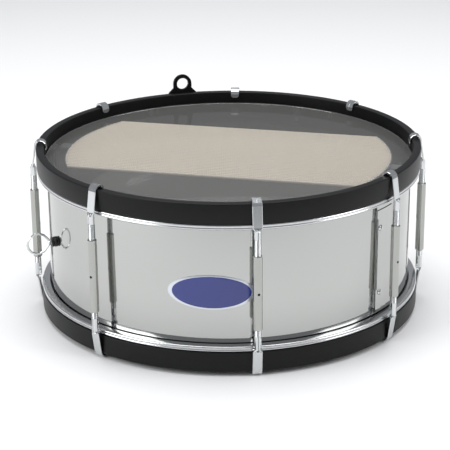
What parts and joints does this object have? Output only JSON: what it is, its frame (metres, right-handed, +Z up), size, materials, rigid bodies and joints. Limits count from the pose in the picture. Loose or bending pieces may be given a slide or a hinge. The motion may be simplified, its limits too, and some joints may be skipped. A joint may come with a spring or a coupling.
{
  "type": "drum",
  "caption": "Shallow round drum with a bright metal shell, black hoops, clear heads, strap-hook tension rods, a snare mat and a ring screw.",
  "frame": {"origin": "on the drum's axis, on the floor under the lower hooks", "axes": "+Z up along the drum's axis, -Y towards the viewer of the picture"},
  "size_m": [0.3875, 0.3859, 0.182],
  "materials": {
    "polished_steel": "polished stainless sheet",
    "black_enamel": "satin black enamel",
    "bright_alloy": "bright drawn",
    "hook_chrome": "plated",
    "satin_nickel": "satin nickel",
    "clear_film": "clear drum film",
    "snare_wire": "fine steel wire",
    "zinc_sheet": "zinc plated sheet",
    "black_rubber": "moulded, matt",
    "grey_felt": "pressed felt"
  },
  "bodies": {
    "drum": {"shell": "polished_steel", "seam_strip": "polished_steel", "batter_head": "clear_film", "resonant_head": "clear_film", "top_flesh_hoop": "bright_alloy", "bottom_flesh_hoop": "bright_alloy", "top_hoop": "black_enamel", "bottom_hoop": "black_enamel", "carrying_lug": "black_enamel", "snare_mat": "snare_wire", "snare_bracket_left": "zinc_sheet", "snare_bracket_right": "zinc_sheet", "damper_bush": "black_rubber", "damper_guide": "zinc_sheet", "bottom_hook_1": "hook_chrome", "bottom_hook_2": "hook_chrome", "bottom_hook_3": "hook_chrome", "bottom_hook_4": "hook_chrome", "bottom_hook_5": "hook_chrome", "bottom_hook_6": "hook_chrome", "bottom_hook_7": "hook_chrome", "bottom_hook_8": "hook_chrome"},
    "ring_screw": {"ring_screw": "hook_chrome"},
    "damper": {"damper_arm": "zinc_sheet", "damper_pad": "grey_felt"},
    "sleeve_nut_1": {"sleeve_nut_1": "satin_nickel"},
    "top_hook_1": {"top_hook_1": "hook_chrome"},
    "sleeve_nut_2": {"sleeve_nut_2": "satin_nickel"},
    "top_hook_2": {"top_hook_2": "hook_chrome"},
    "sleeve_nut_3": {"sleeve_nut_3": "satin_nickel"},
    "top_hook_3": {"top_hook_3": "hook_chrome"},
    "sleeve_nut_4": {"sleeve_nut_4": "satin_nickel"},
    "top_hook_4": {"top_hook_4": "hook_chrome"},
    "sleeve_nut_5": {"sleeve_nut_5": "satin_nickel"},
    "top_hook_5": {"top_hook_5": "hook_chrome"},
    "sleeve_nut_6": {"sleeve_nut_6": "satin_nickel"},
    "top_hook_6": {"top_hook_6": "hook_chrome"},
    "sleeve_nut_7": {"sleeve_nut_7": "satin_nickel"},
    "top_hook_7": {"top_hook_7": "hook_chrome"},
    "sleeve_nut_8": {"sleeve_nut_8": "satin_nickel"},
    "top_hook_8": {"top_hook_8": "hook_chrome"}
  },
  "joints": [
    {"name": "sleeve_turn_1", "type": "hinge", "parent": "drum", "child": "sleeve_nut_1", "pos_m": [0.02475, -0.18798, 0.08165], "axis": [0, 0, 1], "range_deg": [0, 720]},
    {"name": "hook_lift_1", "type": "slide", "parent": "drum", "child": "top_hook_1", "axis": [0, 0, 1], "range_m": [0, 0.004]},
    {"name": "sleeve_turn_2", "type": "hinge", "parent": "drum", "child": "sleeve_nut_2", "pos_m": [0.15162, -0.11384, 0.08165], "axis": [0, 0, 1], "range_deg": [0, 720]},
    {"name": "hook_lift_2", "type": "slide", "parent": "drum", "child": "top_hook_2", "axis": [0, 0, 1], "range_m": [0, 0.004]},
    {"name": "sleeve_turn_3", "type": "hinge", "parent": "drum", "child": "sleeve_nut_3", "pos_m": [0.1895, 0.00629, 0.08165], "axis": [0, 0, 1], "range_deg": [0, 720]},
    {"name": "hook_lift_3", "type": "slide", "parent": "drum", "child": "top_hook_3", "axis": [0, 0, 1], "range_m": [0, 0.004]},
    {"name": "sleeve_turn_4", "type": "hinge", "parent": "drum", "child": "sleeve_nut_4", "pos_m": [0.13593, 0.13218, 0.08165], "axis": [0, 0, 1], "range_deg": [0, 720]},
    {"name": "hook_lift_4", "type": "slide", "parent": "drum", "child": "top_hook_4", "axis": [0, 0, 1], "range_m": [0, 0.004]},
    {"name": "sleeve_turn_5", "type": "hinge", "parent": "drum", "child": "sleeve_nut_5", "pos_m": [0.00794, 0.18943, 0.08165], "axis": [0, 0, 1], "range_deg": [0, 720]},
    {"name": "hook_lift_5", "type": "slide", "parent": "drum", "child": "top_hook_5", "axis": [0, 0, 1], "range_m": [0, 0.004]},
    {"name": "sleeve_turn_6", "type": "hinge", "parent": "drum", "child": "sleeve_nut_6", "pos_m": [-0.13708, 0.13099, 0.08165], "axis": [0, 0, 1], "range_deg": [0, 720]},
    {"name": "hook_lift_6", "type": "slide", "parent": "drum", "child": "top_hook_6", "axis": [0, 0, 1], "range_m": [0, 0.004]},
    {"name": "sleeve_turn_7", "type": "hinge", "parent": "drum", "child": "sleeve_nut_7", "pos_m": [-0.18954, -0.00463, 0.08165], "axis": [0, 0, 1], "range_deg": [0, 720]},
    {"name": "hook_lift_7", "type": "slide", "parent": "drum", "child": "top_hook_7", "axis": [0, 0, 1], "range_m": [0, 0.004]},
    {"name": "sleeve_turn_8", "type": "hinge", "parent": "drum", "child": "sleeve_nut_8", "pos_m": [-0.12213, -0.14503, 0.08165], "axis": [0, 0, 1], "range_deg": [0, 720]},
    {"name": "hook_lift_8", "type": "slide", "parent": "drum", "child": "top_hook_8", "axis": [0, 0, 1], "range_m": [0, 0.004]},
    {"name": "ring_screw_turn", "type": "hinge", "parent": "drum", "child": "ring_screw", "pos_m": [-0.16374, -0.06616, 0.0851], "axis": [-0.9272, -0.3746, 0], "range_deg": [0, 180]},
    {"name": "damper_lift", "type": "slide", "parent": "drum", "child": "damper", "axis": [0, 0, 1], "range_m": [0, 0.004]}
  ],
  "couplings": [
    {"joint": "sleeve_turn_1", "follows": "hook_lift_1", "rad_per_m": 3141.6},
    {"joint": "sleeve_turn_2", "follows": "hook_lift_2", "rad_per_m": 3141.6},
    {"joint": "sleeve_turn_3", "follows": "hook_lift_3", "rad_per_m": 3141.6},
    {"joint": "sleeve_turn_4", "follows": "hook_lift_4", "rad_per_m": 3141.6},
    {"joint": "sleeve_turn_5", "follows": "hook_lift_5", "rad_per_m": 3141.6},
    {"joint": "sleeve_turn_6", "follows": "hook_lift_6", "rad_per_m": 3141.6},
    {"joint": "sleeve_turn_7", "follows": "hook_lift_7", "rad_per_m": 3141.6},
    {"joint": "sleeve_turn_8", "follows": "hook_lift_8", "rad_per_m": 3141.6},
    {"joint": "ring_screw_turn", "follows": "damper_lift", "rad_per_m": 785.4}
  ]
}
